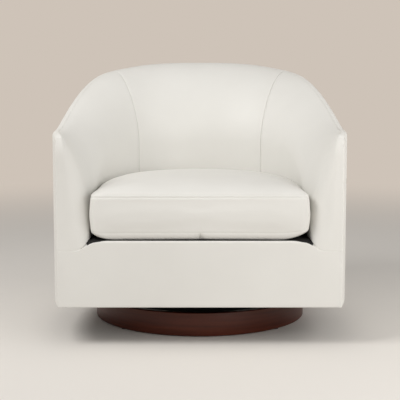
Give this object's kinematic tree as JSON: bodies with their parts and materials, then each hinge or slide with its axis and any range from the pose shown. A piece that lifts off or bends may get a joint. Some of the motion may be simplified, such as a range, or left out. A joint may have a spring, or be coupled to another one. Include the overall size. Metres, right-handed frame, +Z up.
{
  "type": "swivel chair",
  "caption": "Swivel barrel chair in ivory faux leather: rounded arms roll into a higher curved back, with a loose box cushion on a low round dark walnut plinth.",
  "frame": {"origin": "centre of the underside, on the floor below the swivel axis", "axes": "+X to the sitter's left seen from the front, -Y is the open front of the seat, +Z up"},
  "size_m": [0.758, 0.742, 0.7053],
  "materials": {
    "ivory_upholstery": "soft smooth faux leather, low sheen, fine grain",
    "walnut_veneer": "dark walnut stain, satin",
    "black_stained_wood": "plywood stained black, matte",
    "frame_wood": "raw plywood and softwood",
    "swivel_steel": "black enamelled steel",
    "glide_plastic": "matte",
    "black_cloth": "thin matte cloth",
    "webbing": "woven jute",
    "foam": "cut foam"
  },
  "bodies": {
    "base": {"plinth_ring": "walnut_veneer", "floor_glides": "glide_plastic", "plinth_top_board": "black_stained_wood", "plinth_glue_blocks": "frame_wood", "swivel_lower_plate": "swivel_steel", "swivel_lower_bolts": "swivel_steel", "swivel_spindle": "swivel_steel"},
    "roller_ring": {"swivel_roller_cage": "swivel_steel", "swivel_rollers": "swivel_steel"},
    "seat": {"swivel_upper_plate": "swivel_steel", "swivel_upper_bolts": "swivel_steel", "dust_cover": "black_cloth", "base_board": "frame_wood", "front_rail": "frame_wood", "webbing_lengthwise": "webbing", "webbing_crosswise": "webbing", "deck_pad": "foam", "deck_cloth": "black_cloth", "front_rail_cover": "ivory_upholstery", "front_rail_pad": "foam", "left_arm_cover": "ivory_upholstery", "left_arm_foam": "foam", "left_arm_inner_board": "frame_wood", "left_arm_outer_board": "frame_wood", "left_arm_top_rail": "frame_wood", "left_outside_arm_cover": "ivory_upholstery", "left_arm_seat_ledge": "frame_wood", "left_arm_post": "frame_wood", "left_arm_ribs": "frame_wood", "right_arm_cover": "ivory_upholstery", "right_arm_foam": "foam", "right_arm_inner_board": "frame_wood", "right_arm_outer_board": "frame_wood", "right_arm_top_rail": "frame_wood", "right_outside_arm_cover": "ivory_upholstery", "right_arm_seat_ledge": "frame_wood", "right_arm_post": "frame_wood", "right_arm_ribs": "frame_wood", "inside_back_cover": "ivory_upholstery", "inside_back_foam": "foam", "back_inner_board": "frame_wood", "back_outer_board": "frame_wood", "outside_back_cover": "ivory_upholstery", "back_top_rail": "frame_wood", "back_seat_ledge": "frame_wood", "back_ribs": "frame_wood"},
    "cushion": {"cushion_core": "foam", "cushion_top_panel": "ivory_upholstery", "cushion_bottom_panel": "ivory_upholstery", "cushion_band": "ivory_upholstery"}
  },
  "joints": [
    {"name": "seat_swivel", "type": "hinge", "parent": "base", "child": "seat", "pos_m": [0, 0, 0.0795], "axis": [0, 0, 1], "continuous": true},
    {"name": "roller_cage_turn", "type": "hinge", "parent": "base", "child": "roller_ring", "pos_m": [0, 0, 0.0795], "axis": [0, 0, 1], "continuous": true},
    {"name": "cushion_lift", "type": "slide", "parent": "seat", "child": "cushion", "axis": [0, 0, 1], "range_m": [0, 0.45]}
  ],
  "couplings": [
    {"joint": "roller_cage_turn", "follows": "seat_swivel", "ratio": 0.5}
  ]
}
